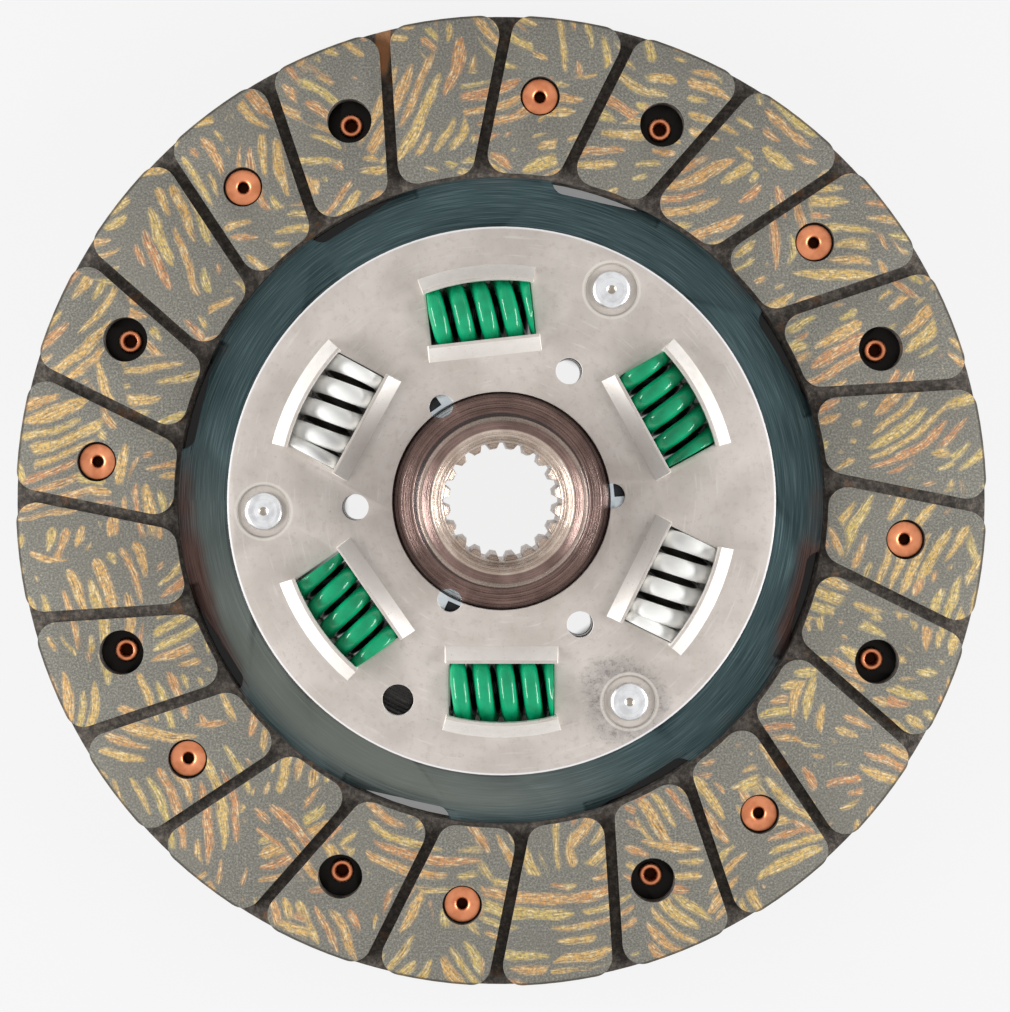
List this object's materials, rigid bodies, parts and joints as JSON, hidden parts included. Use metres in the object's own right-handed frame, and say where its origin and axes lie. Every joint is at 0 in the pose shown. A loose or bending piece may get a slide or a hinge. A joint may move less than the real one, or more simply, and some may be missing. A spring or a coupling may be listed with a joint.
{
  "type": "clutch disc",
  "caption": "Dry clutch disc with riveted grooved friction facings, cushion petals, coil spring torsional damper and a splined hub.",
  "frame": {"origin": "on the hub's axis, midway between the two facings", "axes": "+Z along the hub's axis towards the gearbox, +Y towards the top of the picture"},
  "size_m": [0.2, 0.2, 0.0285],
  "materials": {
    "facing": "moulded fibre lining, ground",
    "copper": "bare copper",
    "blued_steel": "blued spring steel",
    "plain_steel": "pressed sheet, satin",
    "turned_steel": "turned",
    "friction_ring": "pressed friction material",
    "zinc_washer": "zinc plated",
    "bush": "moulded",
    "pin_steel": "turned and riveted over",
    "green_paint": "gloss",
    "white_paint": "satin"
  },
  "bodies": {
    "plates": {"cushion_plate": "blued_steel", "facing_gearbox_side": "facing", "facing_flywheel_side": "facing", "rivets_gearbox_side": "copper", "rivets_flywheel_side": "copper", "cover_plate_gearbox_side": "plain_steel", "cover_plate_flywheel_side": "plain_steel", "stop_pins": "pin_steel", "friction_ring_gearbox_side": "friction_ring", "friction_ring_flywheel_side": "friction_ring", "thrust_washer": "zinc_washer", "cone_spring": "blued_steel", "centring_bush": "bush"},
    "hub": {"hub": "turned_steel"},
    "springs": {"damper_spring_green_1": "green_paint", "damper_spring_green_2": "green_paint", "damper_spring_green_3": "green_paint", "damper_spring_green_4": "green_paint", "damper_spring_white_1": "white_paint", "damper_spring_white_2": "white_paint"}
  },
  "joints": [
    {"name": "damper_twist", "type": "hinge", "parent": "plates", "child": "hub", "pos_m": [0, 0, 0], "axis": [0, 0, 1], "range_deg": [-6, 6], "stiffness_Nm_per_rad": 900, "deforming": ["damper_spring_green_1", "damper_spring_green_2", "damper_spring_green_3", "damper_spring_green_4", "damper_spring_white_1", "damper_spring_white_2"]},
    {"name": "springs_follow", "type": "hinge", "parent": "plates", "child": "springs", "pos_m": [0, 0, 0], "axis": [0, 0, 1], "range_deg": [-3, 3]}
  ],
  "couplings": [
    {"joint": "springs_follow", "follows": "damper_twist", "ratio": 0.5}
  ]
}
